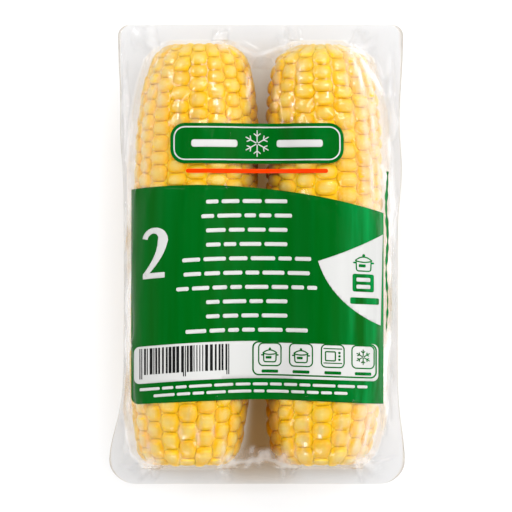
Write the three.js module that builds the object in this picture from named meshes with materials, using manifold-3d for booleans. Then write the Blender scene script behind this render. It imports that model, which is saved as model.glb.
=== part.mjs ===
// A sealed clear bag that holds two frozen corn cobs, lying on its back with the printed front up.
// Millimetres, +Z up, +X to the right of the printed front and +Y towards its upper edge.
// The origin is on the floor, under the middle of the bag. The bag is vacuum packed, so it is one
// closed solid: both cobs with their kernels, the film that spans between and around them, the
// smooth printed field across the front, and the flat sealed border.
import * as THREE from "three";
import { mergeVertices } from "three/addons/utils/BufferGeometryUtils.js";
import Module from "manifold-3d";

const wasm = await Module();
wasm.setup();

// Driving dimensions of the bag.
const bagLength = 177;
const bagWidth = 114;
const borderHeight = 22.5;
const borderThickness = 0.8;
const borderWave = 1.1;
const topCornerRadius = 4;
const bottomCornerRadius = 9;

// Driving dimensions of the cobs. Over its shoulder a cob narrows by its taper towards a cut end,
// and the corner takes the rest off the radius.
const cobLength = 161.2;
const cornerLength = 6;
const kernelsInRow = 27;
const kernelPitchGrowth = 0.24;
const rowGrooveDepth = 2.6;
const kernelValleyDepth = 1.5;
const kernelUnevenness = 0.35;
const restingFlat = 0.6;
const leftCob = {
  axisX: (v) => -24.3 + 2.3 * v,
  radius: 24.5,
  rows: 18,
  top: { shoulder: 50, taper: 7.6, corner: 4 },
  bottom: { shoulder: 58, taper: 5.2, corner: 3 },
};
const rightCob = {
  axisX: (v) => 24.3 + 1.9 * (1 - v * v),
  radius: 23,
  rows: 16,
  top: { shoulder: 42.5, taper: 7.4, corner: 6.2 },
  bottom: { shoulder: 38.6, taper: 4.8, corner: 3.4 },
};

// Driving dimensions of the film. A leaving angle is where the film parts from a cob, from upright.
const filmReachAtSides = 3;
const filmReachAtEnds = 5.5;
const filmClingAtSides = 0.24;
const filmInset = 3;
const leavingAngleMiddle = 26;
const leavingAngleGrowth = 38;
const spanHandle = 0.35;
const spanFadeStart = 66;
const spanFadeEnd = 84;

// Driving dimensions of the printed field, which runs from side to side over both cobs.
const printLift = 0.3;
const printDepth = 3.2;
const printTop = (x) => 26.4 - 0.0021 * (x + 22) ** 2;
const printBottom = (x) => -55.4 - 0.0009 * x * x;

const seed = 7;
const halfCob = cobLength / 2;
const { degToRad, lerp, smoothstep, clamp } = THREE.MathUtils;

// A seeded draw between -1 and 1.
function makeDraw(start) {
  let state = start;
  return () => {
    state = (Math.imul(state, 1664525) + 1013904223) >>> 0;
    return state / 2 ** 31 - 1;
  };
}

// Turns a closed geometry into a solid that can be joined and cut.
function solid(geometry) {
  const bare = geometry.clone();
  bare.deleteAttribute("normal");
  bare.deleteAttribute("uv");
  const merged = mergeVertices(bare, 1e-4);
  return new wasm.Manifold(
    new wasm.Mesh({
      numProp: 3,
      vertProperties: new Float32Array(merged.attributes.position.array),
      triVerts: new Uint32Array(merged.index.array),
    }),
  );
}

// Turns a solid back into a geometry.
function geometryOf(made) {
  const mesh = made.getMesh();
  const geometry = new THREE.BufferGeometry();
  geometry.setAttribute("position", new THREE.BufferAttribute(mesh.vertProperties, 3));
  geometry.setIndex(new THREE.BufferAttribute(mesh.triVerts, 1));
  geometry.computeVertexNormals();
  return geometry;
}

// A closed plate between an upper and a lower grid of points of the same size. Each grid is a list
// of lines that step in +Y, and each line's points step in +X.
function plate(upper, lower) {
  const lines = upper.length;
  const across = upper[0].length;
  const points = [...upper.flat(), ...lower.flat()];
  const index = [];
  const up = (i, j) => i * across + j;
  const down = (i, j) => lines * across + up(i, j);
  const quad = (a, b, c, d) => index.push(a, b, c, a, c, d);
  for (let i = 0; i < lines - 1; i++) {
    for (let j = 0; j < across - 1; j++) {
      quad(up(i, j), up(i, j + 1), up(i + 1, j + 1), up(i + 1, j));
      quad(down(i, j), down(i + 1, j), down(i + 1, j + 1), down(i, j + 1));
    }
    quad(up(i, 0), up(i + 1, 0), down(i + 1, 0), down(i, 0));
    const last = across - 1;
    quad(up(i, last), down(i, last), down(i + 1, last), up(i + 1, last));
  }
  for (let j = 0; j < across - 1; j++) {
    quad(up(0, j), down(0, j), down(0, j + 1), up(0, j + 1));
    const end = lines - 1;
    quad(up(end, j), up(end, j + 1), down(end, j + 1), down(end, j));
  }
  return new THREE.BufferGeometry().setFromPoints(points).setIndex(index);
}

// A cob's radius over the tops of its kernels at y.
function cobRadius(cob, y) {
  const narrowing = (end, distance) =>
    end.taper * Math.max(0, 1 - distance / end.shoulder) ** 3 +
    end.corner * Math.max(0, 1 - distance / cornerLength) ** 2;
  return (
    cob.radius -
    narrowing(cob.top, Math.max(0, halfCob - y)) -
    narrowing(cob.bottom, Math.max(0, halfCob + y))
  );
}

// The middle of a cob at y.
function cobCentre(cob, y) {
  const v = clamp(y / halfCob, -1, 1);
  return { x: cob.axisX(v), z: cob.radius - restingFlat };
}

// How far along a cob a share of its kernels reaches. The kernels grow longer towards the bottom.
function alongCob(share) {
  const grown = share * (1 - kernelPitchGrowth / 2 + (kernelPitchGrowth / 2) * share);
  return halfCob - grown * cobLength;
}

// One cob. A grid of three columns a row and two lines a kernel is pushed out at the kernels, whose
// tops stand half a kernel higher in every other row.
function cobSolid(cob, draw) {
  const columns = 3 * cob.rows;
  const lines = 2 * kernelsInRow;
  const grid = new THREE.CylinderGeometry(1, 1, 1, columns, lines);
  const position = grid.attributes.position;
  const crowns = Array.from({ length: columns * (lines + 1) }, () => kernelUnevenness * draw());
  const turn = (2 * Math.PI) / columns;
  for (let i = 0; i < position.count; i++) {
    const spot = new THREE.Vector3().fromBufferAttribute(position, i);
    const line = Math.round((0.5 - spot.y) * lines);
    const y = alongCob(line / lines);
    const centre = cobCentre(cob, y);
    if (Math.hypot(spot.x, spot.z) < 0.5) {
      position.setXYZ(i, centre.x, y, centre.z);
      continue;
    }
    const column = (Math.round(Math.atan2(spot.x, spot.z) / turn) + columns) % columns;
    const row = Math.floor(column / 3);
    const isGroove = column % 3 === 0;
    const isCrown = (line + row) % 2 === 1;
    const depth = isGroove ? rowGrooveDepth : isCrown ? 0 : kernelValleyDepth;
    const full = cobRadius(cob, y);
    const uneven = isCrown && !isGroove ? crowns[row * lines + line] : 0;
    const radius = full - depth * (full / cob.radius) + Math.min(0, uneven);
    const angle = column * turn - 1.5 * turn;
    position.setXYZ(i, centre.x - radius * Math.sin(angle), y, centre.z - radius * Math.cos(angle));
  }
  return solid(grid);
}

// A cob's outline as seen from above, run anticlockwise, with the height at which the film meets it.
function cobOutline(cob) {
  const points = [];
  const sideSteps = 12;
  const endSteps = 6;
  const side = (sign, y) => {
    const radius = cobRadius(cob, y);
    points.push({ x: cobCentre(cob, y).x + sign * radius, y, height: filmClingAtSides * radius });
  };
  const end = (sign, across) => {
    const radius = cobRadius(cob, sign * halfCob);
    const x = cobCentre(cob, sign * halfCob).x + across * radius;
    const rim = 0.95 * radius * Math.sqrt(1 - across * across);
    points.push({ x, y: sign * halfCob, height: Math.max(rim, filmClingAtSides * radius) });
  };
  const spread = (step) => halfCob * Math.sin((Math.PI / 2) * (-1 + (2 * step) / sideSteps));
  for (let i = 0; i < sideSteps; i++) side(1, spread(i));
  for (let i = 0; i < endSteps; i++) end(1, 1 - (2 * i) / endSteps);
  for (let i = 0; i < sideSteps; i++) side(-1, -spread(i));
  for (let i = 0; i < endSteps; i++) end(-1, -1 + (2 * i) / endSteps);
  return points;
}

// The film round one cob: a ring that slopes from the border up and down to the cob.
function filmSkirt(cob) {
  const outline = cobOutline(cob);
  const count = outline.length;
  const rings = outline.map((here, i) => {
    const before = outline[(i + count - 1) % count];
    const after = outline[(i + 1) % count];
    const out = new THREE.Vector2(after.y - before.y, before.x - after.x).normalize();
    const reach = lerp(filmReachAtSides, filmReachAtEnds, Math.abs(out.y));
    const inward = filmInset + (1 - Math.sqrt(1 - filmClingAtSides ** 2)) * cob.radius * Math.abs(out.x);
    const at = (offset, height) =>
      new THREE.Vector3(here.x + offset * out.x, here.y + offset * out.y, borderHeight + height);
    const edge = borderThickness / 2;
    return [
      at(reach, edge),
      at(0.3 * reach, 0.4 * here.height),
      at(-inward, here.height),
      at(-inward, -here.height),
      at(0.3 * reach, -0.4 * here.height),
      at(reach, -edge),
    ];
  });
  const around = rings[0].length;
  const index = [];
  for (let i = 0; i < count; i++) {
    for (let j = 0; j < around; j++) {
      const a = i * around + j;
      const b = i * around + ((j + 1) % around);
      const c = ((i + 1) % count) * around + ((j + 1) % around);
      const d = ((i + 1) % count) * around + j;
      index.push(a, d, c, a, c, b);
    }
  }
  return solid(new THREE.BufferGeometry().setFromPoints(rings.flat()).setIndex(index));
}

// The film's section at y, from the left side over both cobs to the right side, standing lift proud
// of the kernels. On its way from cob to cob the film sags in a smooth curve.
const arcSteps = 8;
const spanSteps = 5;
function filmSection(y, lift, leaving) {
  const at = (cob, degrees) => {
    const centre = cobCentre(cob, y);
    const radius = cobRadius(cob, y) + lift;
    const turn = degToRad(degrees);
    return new THREE.Vector2(centre.x + radius * Math.sin(turn), centre.z + radius * Math.cos(turn));
  };
  const points = [];
  for (let i = 0; i < arcSteps; i++) points.push(at(leftCob, lerp(-90, leaving, i / arcSteps)));
  const from = at(leftCob, leaving);
  const to = at(rightCob, -leaving);
  const handle = spanHandle * from.distanceTo(to);
  const slope = new THREE.Vector2(Math.cos(degToRad(leaving)), -Math.sin(degToRad(leaving)));
  const span = new THREE.CubicBezierCurve(
    from,
    from.clone().addScaledVector(slope, handle),
    to.clone().add(new THREE.Vector2(-slope.x, slope.y).multiplyScalar(handle)),
    to,
  );
  points.push(...span.getPoints(spanSteps));
  for (let i = 1; i <= arcSteps; i++) points.push(at(rightCob, lerp(-leaving, 90, i / arcSteps)));
  return points;
}

// How steeply the film leaves the cobs at y. It dips deeper between them towards their ends.
function leavingAngle(y) {
  return leavingAngleMiddle + leavingAngleGrowth * clamp(Math.abs(y) / halfCob, 0, 1) ** 2;
}

// The filled space between the two cobs, under the film's front span and over its back span.
function filmBetween() {
  const lines = 12;
  const upper = [];
  const lower = [];
  for (let i = 0; i <= lines; i++) {
    const y = spanFadeEnd * Math.sin((Math.PI / 2) * (-1 + (2 * i) / lines));
    const fade = 1 - smoothstep(Math.abs(y), spanFadeStart, spanFadeEnd);
    const section = filmSection(y, -0.05, leavingAngle(y));
    const span = section.slice(arcSteps - 1, arcSteps + spanSteps + 2);
    const last = span.length - 1;
    span[0].y -= 4;
    span[last].y -= 4;
    const rise = (p) => (p.y - borderHeight) * fade + borderThickness / 2;
    upper.push(span.map((p) => new THREE.Vector3(p.x, y, borderHeight + rise(p))));
    lower.push(span.map((p) => new THREE.Vector3(p.x, y, borderHeight - 0.9 * rise(p))));
  }
  return solid(plate(upper, lower));
}

// The printed field: a smooth shell over both cobs and the film between them.
function printedField() {
  const lines = 5;
  const columns = filmSection(0, 0, leavingAngleMiddle);
  const gridAt = (lift) =>
    Array.from({ length: lines + 1 }, (_, i) =>
      columns.map((column, j) => {
        const y = lerp(printBottom(column.x), printTop(column.x), i / lines);
        const p = filmSection(y, lift, leavingAngle(y))[j];
        return new THREE.Vector3(p.x, y, p.y);
      }),
    );
  return solid(plate(gridAt(printLift), gridAt(-printDepth)));
}

// How far the border reaches to one side at y. It is drawn in along the cobs and flares out at the
// corners, most of all at the lower ones.
function borderReach(y, sign) {
  const v = y / (bagLength / 2);
  const bump = (middle, spread) => Math.exp(-(((v - middle) / spread) ** 2));
  const drawnIn = sign < 0 ? 51.4 : 54;
  const lowerFlare = (sign < 0 ? 5.6 : 2.8) * bump(-0.9, 0.2);
  const upperFlare = 2.2 * bump(0.95, 0.3);
  const ripple = (sign < 0 ? 1.1 : 1.6) * bump(sign < 0 ? 0.52 : 0.36, 0.16);
  return drawnIn + lowerFlare + upperFlare + ripple;
}

// The flat sealed border, which carries on between and under the cobs as one wavy sheet.
function sealedBorder() {
  const lines = 26;
  const half = bagLength / 2;
  const heights = Array.from({ length: lines + 1 }, (_, i) => half * Math.sin(Math.PI * (i / lines - 0.5)));
  const rounded = (y, sign) => {
    const corner = y > 0 ? topCornerRadius : bottomCornerRadius;
    const inCorner = Math.max(0, corner - (half - Math.abs(y)));
    return borderReach(y, sign) - corner + Math.sqrt(Math.max(0, corner ** 2 - inCorner ** 2));
  };
  const widest = (sign) => Math.max(...heights.map((y) => rounded(y, sign)));
  const fitLeft = bagWidth / 2 / widest(-1);
  const fitRight = bagWidth / 2 / widest(1);
  const gridAt = (offset) =>
    heights.map((y) => {
      const left = -fitLeft * rounded(y, -1);
      const right = fitRight * rounded(y, 1);
      const wave = borderWave * Math.sin((5 * Math.PI * y) / bagLength);
      const at = (x, share) => new THREE.Vector3(x, y, borderHeight + offset + share * wave);
      return [at(left, 1), at(left + 6, 0), at(0, 0), at(right - 6, 0), at(right, -1)];
    });
  const thick = borderThickness / 2;
  return solid(plate(gridAt(thick), gridAt(-thick)));
}

// The one outer body of a joined solid, with the small hollows that joining sealed in it filled.
function outerBody(made) {
  const bodies = made.decompose();
  return bodies.reduce((largest, body) => (body.volume() > largest.volume() ? body : largest));
}

// Everything below the floor, which flattens the lowest kernels where the bag rests.
function belowFloor() {
  const block = new THREE.BoxGeometry(2 * bagWidth, 2 * bagLength, 20);
  return solid(block.translate(0, 0, -10));
}

const draw = makeDraw(seed);
const joined = [cobSolid(leftCob, draw), cobSolid(rightCob, draw), filmSkirt(leftCob), filmSkirt(rightCob)]
  .concat([filmBetween(), printedField(), sealedBorder()])
  .reduce((bag, piece) => bag.add(piece))
  .subtract(belowFloor());

const material = new THREE.MeshStandardMaterial({ color: 0xf0c455, roughness: 0.25, metalness: 0 });
const mesh = new THREE.Mesh(geometryOf(outerBody(joined)), material);
mesh.name = "sealed_bag";
const group = new THREE.Group();
group.add(mesh);

export default group;
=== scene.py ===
# %% [markdown]
# # A clear vacuum bag with two frozen corn cobs
# The real object is two trimmed cobs and a bag of clear film that the air has been drawn out of, so
# nothing in it moves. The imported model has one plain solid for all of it. This lesson puts the real
# things in that solid's place: the cobs with every kernel, the film drawn tight over them, and the
# inks that are printed on the film. It works in millimetres and turns them into metres at the end.

# %% Load the fixed frame
import math
from types import SimpleNamespace

import bmesh
import bpy
import numpy as np
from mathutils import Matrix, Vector
from mathutils.bvhtree import BVHTree


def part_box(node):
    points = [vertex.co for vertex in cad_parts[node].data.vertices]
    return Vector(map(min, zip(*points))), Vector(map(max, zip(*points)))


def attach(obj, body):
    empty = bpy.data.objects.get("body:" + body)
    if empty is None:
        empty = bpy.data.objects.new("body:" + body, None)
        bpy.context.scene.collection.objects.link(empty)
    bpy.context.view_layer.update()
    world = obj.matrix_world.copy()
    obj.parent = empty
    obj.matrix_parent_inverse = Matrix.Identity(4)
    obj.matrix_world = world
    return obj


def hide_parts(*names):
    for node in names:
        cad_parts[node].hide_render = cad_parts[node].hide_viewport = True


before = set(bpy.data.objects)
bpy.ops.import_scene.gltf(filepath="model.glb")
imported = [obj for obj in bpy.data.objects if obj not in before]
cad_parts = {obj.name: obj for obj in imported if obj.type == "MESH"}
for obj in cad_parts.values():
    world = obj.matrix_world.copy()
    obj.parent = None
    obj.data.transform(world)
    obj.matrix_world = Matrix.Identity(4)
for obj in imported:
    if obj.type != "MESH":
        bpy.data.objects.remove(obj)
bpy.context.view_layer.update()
MM = 0.001
bag_low, bag_high = (np.array(corner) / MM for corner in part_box("sealed_bag"))
BAG_WIDTH, BAG_LENGTH, BAG_HEIGHT = bag_high - bag_low
print(f"the bag is {BAG_WIDTH:.1f} by {BAG_LENGTH:.1f} by {BAG_HEIGHT:.1f} mm")

# %% [markdown]
# ## The camera
# The photo looks straight at the printed front from some way off. The bag lies on its back here, so
# the camera hangs above it and looks straight down. A long lens keeps the sides nearly parallel.

# %% Hang the camera over the bag
BORDER_HEIGHT = 22.5
CAMERA_DISTANCE = 1600.0
VIEW_WIDTH = 197.6
VIEW_MIDDLE = (-0.4, -0.6)


def link_object(name, data):
    """A new object in the scene."""
    made = bpy.data.objects.new(name, data)
    bpy.context.scene.collection.objects.link(made)
    return made


camera = link_object("camera", bpy.data.cameras.new("camera"))
camera.location = Vector((*VIEW_MIDDLE, BORDER_HEIGHT + CAMERA_DISTANCE)) * MM
camera.data.lens = camera.data.sensor_width * CAMERA_DISTANCE / VIEW_WIDTH
camera.data.clip_start = 0.1
camera.data.clip_end = 20.0
bpy.context.scene.camera = camera

# %% [markdown]
# ## The form of a cob
# A trimmed cob is a long barrel with two cut ends. Over its shoulder it narrows by its taper, and the
# rounded corner takes the rest off its radius. Both cobs bend a little to fit side by side. The
# functions below give a cob's radius over its kernels and the middle of its section, so that the
# kernels, the film and the inks all follow the same form.

# %% Cob measures
COB_LENGTH = 161.2
HALF_COB = COB_LENGTH / 2
CORNER_LENGTH = 6.0
KERNELS_IN_ROW = 27
PITCH_GROWTH = 0.24

LEFT_COB = SimpleNamespace(
    name="left",
    axis_x=lambda v: -24.3 + 2.3 * v,
    height=23.9,
    radius=24.5,
    rows=18,
    top=SimpleNamespace(shoulder=50.0, taper=7.6, corner=4.0),
    bottom=SimpleNamespace(shoulder=58.0, taper=5.2, corner=3.0),
)
RIGHT_COB = SimpleNamespace(
    name="right",
    axis_x=lambda v: 24.3 + 1.9 * (1 - v * v),
    height=22.4,
    radius=23.0,
    rows=16,
    top=SimpleNamespace(shoulder=42.5, taper=7.4, corner=6.2),
    bottom=SimpleNamespace(shoulder=38.6, taper=4.8, corner=3.4),
)


def cob_radius(cob, y):
    """A cob's radius over its kernels at y."""

    def narrowing(end, distance):
        distance = np.maximum(0, distance)
        slope = end.taper * np.maximum(0, 1 - distance / end.shoulder) ** 3
        return slope + end.corner * np.maximum(0, 1 - distance / CORNER_LENGTH) ** 2

    return cob.radius - narrowing(cob.top, HALF_COB - y) - narrowing(cob.bottom, HALF_COB + y)


def cob_x(cob, y):
    """Where the middle of a cob is across the bag at y."""
    return cob.axis_x(np.clip(y / HALF_COB, -1, 1))


def along_cob(share):
    """How far along a cob a share of its kernels reaches. They grow longer towards the bottom."""
    grown = share * (1 - PITCH_GROWTH / 2 + PITCH_GROWTH / 2 * share)
    return HALF_COB - grown * COB_LENGTH


# %% [markdown]
# ## Making a piece
# Every piece ends the same way: its bmesh becomes a mesh in metres, smooth shaded, that rides on the
# one body and stands for the plain solid.

# %% From bmesh to a finished piece
def mesh_of(bm, name):
    """A mesh of what a bmesh holds."""
    mesh = bpy.data.meshes.new(name)
    bm.to_mesh(mesh)
    bm.free()
    return mesh


def finish_piece(bm, name, material):
    """Turns a bmesh in millimetres into a piece of the object."""
    bmesh.ops.scale(bm, vec=Vector((MM, MM, MM)), verts=bm.verts[:])
    finish_mesh(mesh_of(bm, name), name, material)


def finish_mesh(mesh, name, material):
    """Shades a mesh smooth and hands it over as a piece of the object."""
    mesh.polygons.foreach_set("use_smooth", [True] * len(mesh.polygons))
    mesh.materials.append(material)
    piece = link_object(name, mesh)
    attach(piece, "root")
    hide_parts("sealed_bag")
    print(f"{name}: {len(mesh.polygons)} faces")


# %% [markdown]
# ## Materials
# One helper adds a node and gives its inputs values or links. On it stand the few usual nodes.
# Nothing on real food or film is even, so a small node group gives every finish its own unevenness:
# noise on Object coordinates, drawn out along an axis if wanted, and mapped from a low to a high value.

# %% Material helpers and a node group for unevenness
def set_inputs(tree, node, inputs):
    """Gives a node's inputs their values. The output of another node is linked."""
    for socket, value in inputs.items():
        if isinstance(value, bpy.types.NodeSocket):
            tree.links.new(value, node.inputs[socket])
        else:
            node.inputs[socket].default_value = value


def add_node(tree, kind, inputs, **settings):
    """A new node with its settings and inputs."""
    node = tree.nodes.new(f"ShaderNode{kind}")
    for setting, value in settings.items():
        setattr(node, setting, value)
    set_inputs(tree, node, inputs)
    return node


def start_material(name):
    """A material, its node tree and its Principled shader."""
    material = bpy.data.materials.new(name)
    material.use_nodes = True
    return material, material.node_tree, material.node_tree.nodes["Principled BSDF"]


def attribute(tree, name):
    """A value that a mesh carries at its points."""
    return add_node(tree, "Attribute", {}, attribute_name=name).outputs["Fac"]


def object_place(tree):
    """The place on an object, in its own metres."""
    return add_node(tree, "TexCoord", {}).outputs["Object"]


def unevenness_group():
    """Noise between a low and a high value."""
    group = bpy.data.node_groups.new("unevenness", "ShaderNodeTree")
    for name, kind in (("Scale", "Float"), ("Stretch", "Vector"), ("Low", "Float"), ("High", "Float")):
        group.interface.new_socket(name, in_out="INPUT", socket_type=f"NodeSocket{kind}")
    group.interface.new_socket("Value", in_out="OUTPUT", socket_type="NodeSocketFloat")
    given = group.nodes.new("NodeGroupInput").outputs
    factors = {0: object_place(group), 1: given["Stretch"]}
    stretched = add_node(group, "VectorMath", factors, operation="MULTIPLY").outputs["Vector"]
    grain = {"Detail": 3.0, "Vector": stretched, "Scale": given["Scale"]}
    noise = add_node(group, "TexNoise", grain).outputs["Fac"]
    reach = {"From Min": 0.3, "From Max": 0.7, "To Min": given["Low"], "To Max": given["High"]}
    spread = add_node(group, "MapRange", {"Value": noise, **reach}).outputs["Result"]
    group.links.new(spread, group.nodes.new("NodeGroupOutput").inputs["Value"])
    return group


UNEVENNESS = unevenness_group()


def uneven(tree, scale, low, high, stretch=(1, 1, 1)):
    """Places the unevenness group with its own values. Scale counts the lumps in a metre."""
    values = {"Scale": scale, "Stretch": stretch, "Low": low, "High": high}
    return add_node(tree, "Group", values, node_tree=UNEVENNESS).outputs["Value"]


def colour_ramp(tree, value, stops):
    """The colour that a value has between the given places and colours."""
    ramp = add_node(tree, "ValToRGB", {"Fac": value})
    elements = ramp.color_ramp.elements
    while len(elements) < len(stops):
        elements.new(0.5)
    for element, (place, colour) in zip(elements, stops):
        element.position = place
        element.color = (*colour, 1)
    return ramp.outputs["Color"]


def blend(tree, kind, one, other):
    """Two colours, multiplied or added."""
    colours = {"Factor": 1.0, 6: one, 7: other}
    return add_node(tree, "Mix", colours, data_type="RGBA", blend_type=kind).outputs[2]


# %% [markdown]
# ## What corn looks like
# A kernel is waxy and lets light in a few millimetres, which subsurface scattering gives. Its crown is
# pale and milky, and towards its rim the flesh turns a strong yellow. At the rim it is also brighter
# than further up, which is painted light: it stands in for the light that the flesh passes on into
# the grooves. Each kernel carries how near a point is to its crown, and a tone of its own, as two
# attributes that the material reads.

# %% Kernel finish
# The rim stop is brighter than the next one: painted light for the glow in the grooves between kernels.
RIM_TO_CROWN = [(0.0, (0.94, 0.55, 0.002)), (0.3, (0.75, 0.47, 0.006)), (1.0, (0.69, 0.56, 0.2))]
KERNEL_TONES = [(0.0, (0.98, 0.9, 0.6)), (0.5, (1, 0.97, 0.9)), (1.0, (1, 1, 1))]
VEIN_TONES = [(0.0, (0.99, 0.95, 0.82)), (1.0, (1, 1, 1))]


def kernel_material():
    """Waxy flesh from a yellow rim, brightened as painted light, to a pale crown, in each kernel's own
    tone.
    """
    material, tree, shader = start_material("corn_kernel")
    flesh = colour_ramp(tree, attribute(tree, "crown"), RIM_TO_CROWN)
    own = colour_ramp(tree, attribute(tree, "tone"), KERNEL_TONES)
    veins = colour_ramp(tree, uneven(tree, 380, 0.0, 1.0), VEIN_TONES)
    looks = {
        "Base Color": blend(tree, "MULTIPLY", blend(tree, "MULTIPLY", flesh, own), veins),
        "Roughness": uneven(tree, 250, 0.24, 0.4),
        "Subsurface Weight": 0.85,
        "Subsurface Radius": (1.0, 0.85, 0.4),
        "Subsurface Scale": 0.0022,
        "IOR": 1.25,
    }
    set_inputs(tree, shader, looks)
    return material


# %% Cut cob finish
# The fibres' deep yellow is painted light, a glow for the light that the kernels pass into the grooves.
FIBRE_TONES_WITH_PAINTED_GLOW = [(0.0, (0.9, 0.54, 0.01)), (1.0, (0.87, 0.58, 0.04))]
CUT_BLEACH = [(0.0, (0.0, 0.0, 0.0)), (0.6, (0.0, 0.06, 0.12)), (1.0, (0.0, 0.12, 0.3))]


def core_material():
    """Fibres along the cob in a bright deep yellow that is painted glow, paler where the cob is cut."""
    material, tree, shader = start_material("cut_cob")
    fibres = colour_ramp(tree, uneven(tree, 420, 0.0, 1.0, (1, 0.3, 1)), FIBRE_TONES_WITH_PAINTED_GLOW)
    bleach = colour_ramp(tree, attribute(tree, "cut"), CUT_BLEACH)
    looks = {
        "Base Color": blend(tree, "ADD", fibres, bleach),
        "Roughness": 0.6,
        "Subsurface Weight": 0.25,
        "Subsurface Scale": 0.003,
    }
    set_inputs(tree, shader, looks)
    return material


# %% [markdown]
# ## What film and ink look like
# The film is far thinner than its bends, so nothing behind it is shifted: light goes straight through,
# and a part is mirrored that grows towards grazing angles. A clear shader mixed with a mirror by
# Fresnel is just that. Two values on the film change it from place to place. The first is painted
# sheen: along its creases and where it leaves the outer flanks, most on the right, the film turns
# from a mirror into a pale plastic that stands in for the lights it would mirror. The second is
# painted shade: between the cobs and along their lower ends it lets less light through, in a brown
# that stands in for the shadow there and the corn's warm light, and its cut edge is a little darker.
# The inks are opaque and shine like the film over them. Their colour runs in faint streaks along the
# bag, which show fully only near the right fold. On the green ink the streaks are lighter, a painted
# sheen for the light from the right.

# %% Film finish
FILM_TINT = (0.934, 0.933, 0.934)
# The valley tint is painted shade: brown for the shadow between the cobs and the corn's warm light
# there.
VALLEY_PAINTED_SHADE = (0.56, 0.43, 0.27)
FILM_HAZE = 0.002
MOST_MIRROR = 0.2
# Painted sheen turns the film from clear to a pale plastic that stands in for the lights it would
# mirror.
PAINTED_SHEEN_WEIGHT = 0.45
VALLEY_SOFTNESS = 0.4
VALLEY_DULLNESS = 0.045


def film_material():
    """Clear film with a mirror on it, with painted sheen and painted shade where its mesh says so."""
    material, tree, shader = start_material("clear_film")
    valley, painted_sheen = (attribute(tree, name) for name in ("valley", "painted_sheen"))

    def calculate(operation, *values):
        return add_node(tree, "Math", dict(enumerate(values)), operation=operation).outputs["Value"]

    evenness = uneven(tree, 60, 0.15, 0.24)
    looks = {
        "Base Color": (0.97, 0.97, 0.98, 1),
        "Roughness": calculate("MULTIPLY_ADD", valley, VALLEY_SOFTNESS, evenness),
        "Metallic": calculate("SUBTRACT", 1.0, painted_sheen),
    }
    set_inputs(tree, shader, looks)
    # The clear part takes on the painted shade where the valley value says so.
    tint = colour_ramp(tree, valley, [(0.0, FILM_TINT), (1.0, VALLEY_PAINTED_SHADE)])
    clear = add_node(tree, "BsdfTransparent", {"Color": tint}).outputs["BSDF"]
    mirrored = add_node(tree, "Fresnel", {"IOR": 1.5}).outputs["Fac"]
    limited = calculate("MINIMUM", calculate("ADD", mirrored, FILM_HAZE), MOST_MIRROR)
    dulled = calculate("MULTIPLY_ADD", valley, -VALLEY_DULLNESS, limited)
    # Where painted sheen lies, the pale plastic takes a larger share.
    share = calculate("MULTIPLY_ADD", painted_sheen, PAINTED_SHEEN_WEIGHT, dulled)
    mix = add_node(tree, "MixShader", {"Fac": share, 1: clear, 2: shader.outputs["BSDF"]})
    tree.links.new(mix.outputs["Shader"], tree.nodes["Material Output"].inputs["Surface"])
    return material


# %% Ink finish
# Towards the right fold the inks streak. On green the lighter streaks are painted sheen.
FAINT_STREAKS_TO = 31.0
STREAKS_FROM = 36.0
FAINT_STREAK_FLOOR = 0.85


def ink_material(name, streak_colour, full):
    """An ink between its fully printed colour and its streak colour, streaked most towards the right
    fold.
    """
    material, tree, shader = start_material(name)
    where = add_node(tree, "SeparateXYZ", {"Vector": object_place(tree)})
    reach = {"From Min": FAINT_STREAKS_TO * MM, "From Max": STREAKS_FROM * MM}
    levels = {"To Min": FAINT_STREAK_FLOOR, "To Max": 0.0}
    streak_floor = add_node(tree, "MapRange", {"Value": where.outputs["X"], **reach, **levels})
    streaks = uneven(tree, 220, streak_floor.outputs["Result"], 1.0, (1, 0.06, 1))
    looks = {
        "Base Color": colour_ramp(tree, streaks, [(0.0, streak_colour), (1.0, full)]),
        "Roughness": uneven(tree, 90, 0.12, 0.2),
        "IOR": 1.12,
    }
    set_inputs(tree, shader, looks)
    return material


# %% [markdown]
# ## Kernels
# A kernel is a cushion: squarish seen from above, with a rounded crown that is dented in the middle.
# A cube with a few cuts, drawn in to a rounded box, gives that with few faces. It is then repeated in
# arrays, since a cob has about five hundred, and bent round the cob by its own width and depth.

# %% One kernel in a box from -1 to 1
PLAN_SQUARENESS = 3.0
CROWN_FLATNESS = 2.1
DENT_DEPTH = 0.07
DENT_SPREAD = 0.3


def make_kernel():
    """Corner places and faces of one kernel, its crown towards +Z."""
    bm = bmesh.new()
    bmesh.ops.create_cube(bm, size=2)
    bmesh.ops.subdivide_edges(bm, edges=bm.edges[:], cuts=3, use_grid_fill=True)
    for vert in bm.verts:
        across, along, up = (abs(value) for value in vert.co)
        plan = (across**PLAN_SQUARENESS + along**PLAN_SQUARENESS) ** (1 / PLAN_SQUARENESS)
        vert.co /= (plan**CROWN_FLATNESS + up**CROWN_FLATNESS) ** (1 / CROWN_FLATNESS)
        if vert.co.z > 0:
            vert.co.z -= DENT_DEPTH * math.exp(-(vert.co.x**2 + vert.co.y**2) / DENT_SPREAD)
    bm.verts.ensure_lookup_table()
    corners = np.array([vert.co[:] for vert in bm.verts])
    faces = np.array([[vert.index for vert in face.verts] for face in bm.faces])
    bm.free()
    return corners, faces


kernel_corners, kernel_faces = make_kernel()

# %% Kernels round a cob
KERNEL_DEPTH = 6.4
KERNEL_FILL = 1.15
EDGE_JITTER = 0.11
TURN_JITTER = 0.06
DROP_JITTER = 0.5
TILT_JITTER = 0.055
ROW_WANDER = math.radians(1.6)
ROW_HALF_WAVES = 2.2
FLOOR_CLEARANCE = 0.3
CROWN_SPREAD = 0.42


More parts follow.
